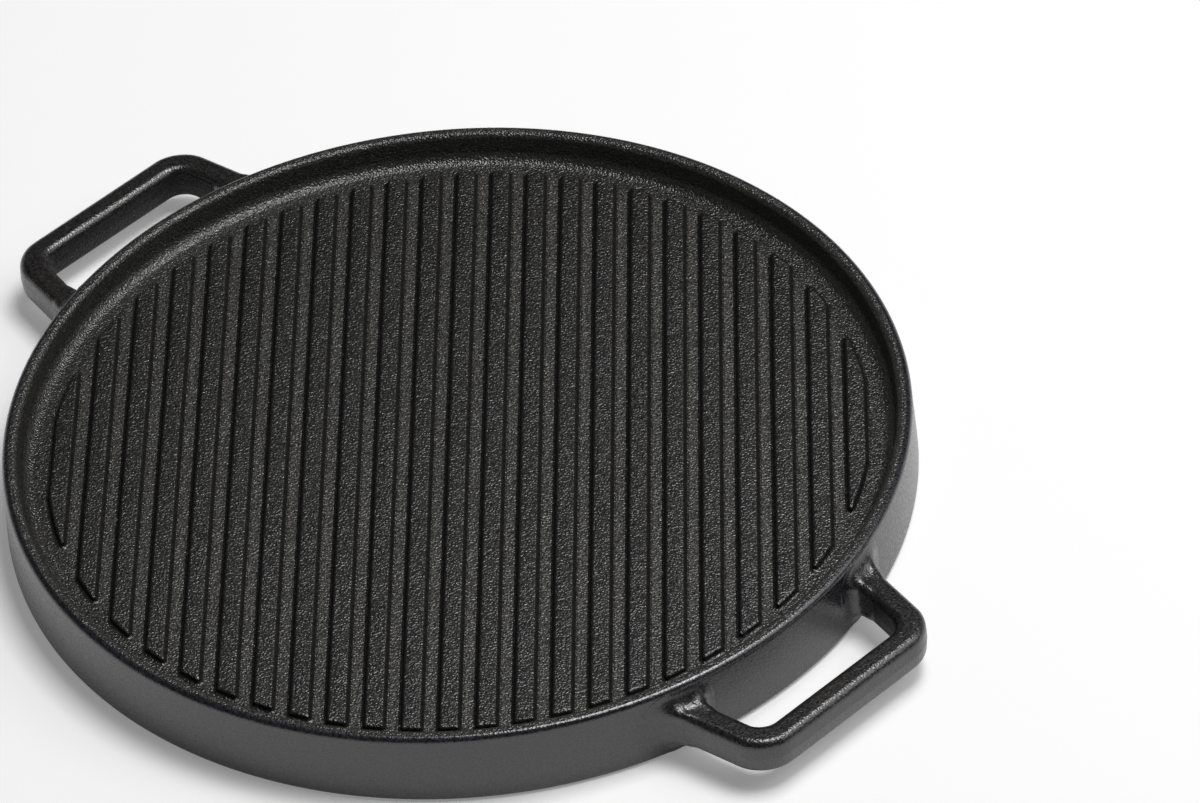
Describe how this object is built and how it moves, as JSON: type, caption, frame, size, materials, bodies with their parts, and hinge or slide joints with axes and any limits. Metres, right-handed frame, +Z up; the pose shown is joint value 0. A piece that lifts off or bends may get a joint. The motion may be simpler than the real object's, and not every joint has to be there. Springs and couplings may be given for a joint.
{
  "type": "griddle plate",
  "caption": "Round reversible cast iron griddle plate: grill bars inside a raised rim on one side, a smooth dished floor on the other, and a loop handle at each end.",
  "frame": {"origin": "centre of the smooth side's rim, on the plane that the plate rests on with its ribbed side up", "axes": "+X from the centre through the middle of one loop handle, +Z up out of the ribbed side, and the bars run at 45 degrees between +X and -Y"},
  "size_m": [0.3648, 0.304, 0.0264],
  "materials": {
    "cooking_floors": "seasoned, fine sand-cast grain",
    "grill_bars": "seasoned, fine sand-cast grain",
    "walls_and_handles": "seasoned, semi-gloss"
  },
  "bodies": {
    "root": {"web": "cooking_floors", "rim": "walls_and_handles", "handle_right": "walls_and_handles", "handle_left": "walls_and_handles", "bar_01": "grill_bars", "bar_02": "grill_bars", "bar_03": "grill_bars", "bar_04": "grill_bars", "bar_05": "grill_bars", "bar_06": "grill_bars", "bar_07": "grill_bars", "bar_08": "grill_bars", "bar_09": "grill_bars", "bar_10": "grill_bars", "bar_11": "grill_bars", "bar_12": "grill_bars", "bar_13": "grill_bars", "bar_14": "grill_bars", "bar_15": "grill_bars", "bar_16": "grill_bars", "bar_17": "grill_bars", "bar_18": "grill_bars", "bar_19": "grill_bars", "bar_20": "grill_bars", "bar_21": "grill_bars", "bar_22": "grill_bars", "bar_23": "grill_bars"}
  },
  "joints": []
}
